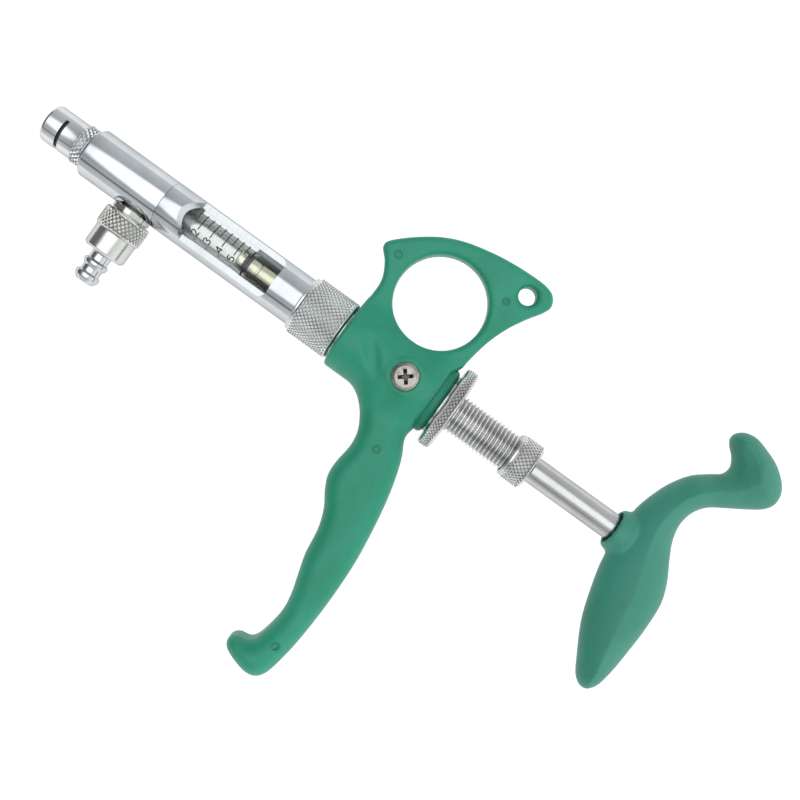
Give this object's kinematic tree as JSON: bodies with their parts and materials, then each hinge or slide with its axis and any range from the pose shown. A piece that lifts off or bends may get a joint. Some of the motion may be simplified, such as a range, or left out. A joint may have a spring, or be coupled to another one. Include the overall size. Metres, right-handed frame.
{
  "type": "continuous dosing syringe",
  "caption": "Self-filling dosing syringe: chromed barrel with glass sight window, side inlet with hose barb, spring-return plunger, screw dose setting, ring-and-lever frame and palm handle.",
  "frame": {"origin": "centre of the nozzle's mouth, on the barrel's axis", "axes": "+X along the barrel from the nozzle to the palm handle, +Y towards the finger ring, +Z out of the flat side with the frame screw; the tool lies on its side"},
  "size_m": [0.2305, 0.1384, 0.0254],
  "materials": {
    "polished_chrome": "polished",
    "nickel": "satin nickel plate",
    "stainless": "turned",
    "screw_steel": "dull",
    "spring_steel": "drawn wire",
    "brass": "turned",
    "seal_rubber": "matte",
    "o_ring_rubber": "satin",
    "barrel_glass": "clear",
    "green_plastic": "fine moulded texture"
  },
  "bodies": {
    "frame": {"handle_frame": "green_plastic", "frame_liner": "stainless", "frame_screw": "screw_steel", "return_spring": "spring_steel"},
    "barrel": {"valve_head": "polished_chrome", "barrel_sleeve": "polished_chrome", "glass_cylinder": "barrel_glass", "front_cylinder_gasket": "seal_rubber", "rear_cylinder_gasket": "seal_rubber", "rod_gland": "brass", "inlet_nipple": "nickel", "inlet_gasket": "seal_rubber", "inlet_valve_spring": "spring_steel", "outlet_valve_spring": "spring_steel"},
    "connection_nut": {"connection_nut": "polished_chrome"},
    "nozzle_seal": {"nozzle_gasket": "seal_rubber"},
    "nozzle": {"nozzle_cap": "polished_chrome"},
    "outlet_valve": {"outlet_valve_poppet": "stainless"},
    "inlet_valve": {"inlet_valve_ball": "stainless"},
    "hose_tail": {"hose_barb": "nickel"},
    "union_nut": {"union_nut": "nickel"},
    "dose_stop": {"stop_washer": "stainless"},
    "dose_sleeve": {"dose_sleeve": "stainless", "end_nut": "stainless"},
    "plunger_seat": {"spring_washer": "stainless"},
    "plunger": {"plunger_rod": "stainless", "piston": "brass", "piston_o_ring": "o_ring_rubber", "palm_handle": "green_plastic", "palm_insert": "brass"},
    "lock_seat": {"lock_washer": "stainless"},
    "lock_disc": {"lock_disc": "stainless"}
  },
  "joints": [
    {"name": "barrel_draw", "type": "slide", "parent": "frame", "child": "barrel", "axis": [-1, 0, 0], "range_m": [0, 0.004]},
    {"name": "connection_nut_turn", "type": "hinge", "parent": "barrel", "child": "connection_nut", "pos_m": [0.095, 0, 0], "axis": [-1, 0, 0], "range_deg": [0, 1440]},
    {"name": "nozzle_draw", "type": "slide", "parent": "barrel", "child": "nozzle_seal", "axis": [-1, 0, 0], "range_m": [0, 0.004]},
    {"name": "nozzle_turn", "type": "hinge", "parent": "nozzle_seal", "child": "nozzle", "pos_m": [0.01, 0, 0], "axis": [-1, 0, 0], "range_deg": [0, 1440]},
    {"name": "outlet_valve_lift", "type": "slide", "parent": "barrel", "child": "outlet_valve", "axis": [-1, 0, 0], "range_m": [0, 0.0008], "stiffness_N_per_m": 150, "springref_m": -0.0008, "deforming": ["outlet_valve_spring"]},
    {"name": "inlet_valve_lift", "type": "slide", "parent": "barrel", "child": "inlet_valve", "axis": [0, 1, 0], "range_m": [0, 0.0008], "stiffness_N_per_m": 100, "springref_m": -0.0008, "deforming": ["inlet_valve_spring"]},
    {"name": "union_draw", "type": "slide", "parent": "barrel", "child": "hose_tail", "axis": [0, -1, 0], "range_m": [0, 0.004]},
    {"name": "union_nut_turn", "type": "hinge", "parent": "hose_tail", "child": "union_nut", "pos_m": [0.0338, -0.015, 0], "axis": [0, -1, 0], "range_deg": [0, 1440]},
    {"name": "dose_travel", "type": "slide", "parent": "frame", "child": "dose_stop", "axis": [1, 0, 0], "range_m": [0, 0.0025]},
    {"name": "dose_turn", "type": "hinge", "parent": "dose_stop", "child": "dose_sleeve", "pos_m": [0.148, 0, 0], "axis": [1, 0, 0], "range_deg": [0, 720]},
    {"name": "plunger_stroke", "type": "slide", "parent": "dose_stop", "child": "plunger_seat", "axis": [-1, 0, 0], "range_m": [0, 0.0215], "stiffness_N_per_m": 400, "springref_m": -0.012, "deforming": ["return_spring"]},
    {"name": "plunger_turn", "type": "hinge", "parent": "plunger_seat", "child": "plunger", "pos_m": [0.2, 0, 0], "axis": [1, 0, 0], "continuous": true},
    {"name": "lock_travel", "type": "slide", "parent": "frame", "child": "lock_seat", "axis": [1, 0, 0], "range_m": [0, 0.0025]},
    {"name": "lock_disc_turn", "type": "hinge", "parent": "lock_seat", "child": "lock_disc", "pos_m": [0.1392, 0, 0], "axis": [1, 0, 0], "range_deg": [0, 720]}
  ],
  "couplings": [
    {"joint": "connection_nut_turn", "follows": "barrel_draw", "rad_per_m": 6283.1},
    {"joint": "nozzle_turn", "follows": "nozzle_draw", "rad_per_m": 6283.1},
    {"joint": "union_nut_turn", "follows": "union_draw", "rad_per_m": 6283.1},
    {"joint": "dose_turn", "follows": "dose_travel", "rad_per_m": 5026.5},
    {"joint": "lock_disc_turn", "follows": "lock_travel", "rad_per_m": 5026.5}
  ]
}
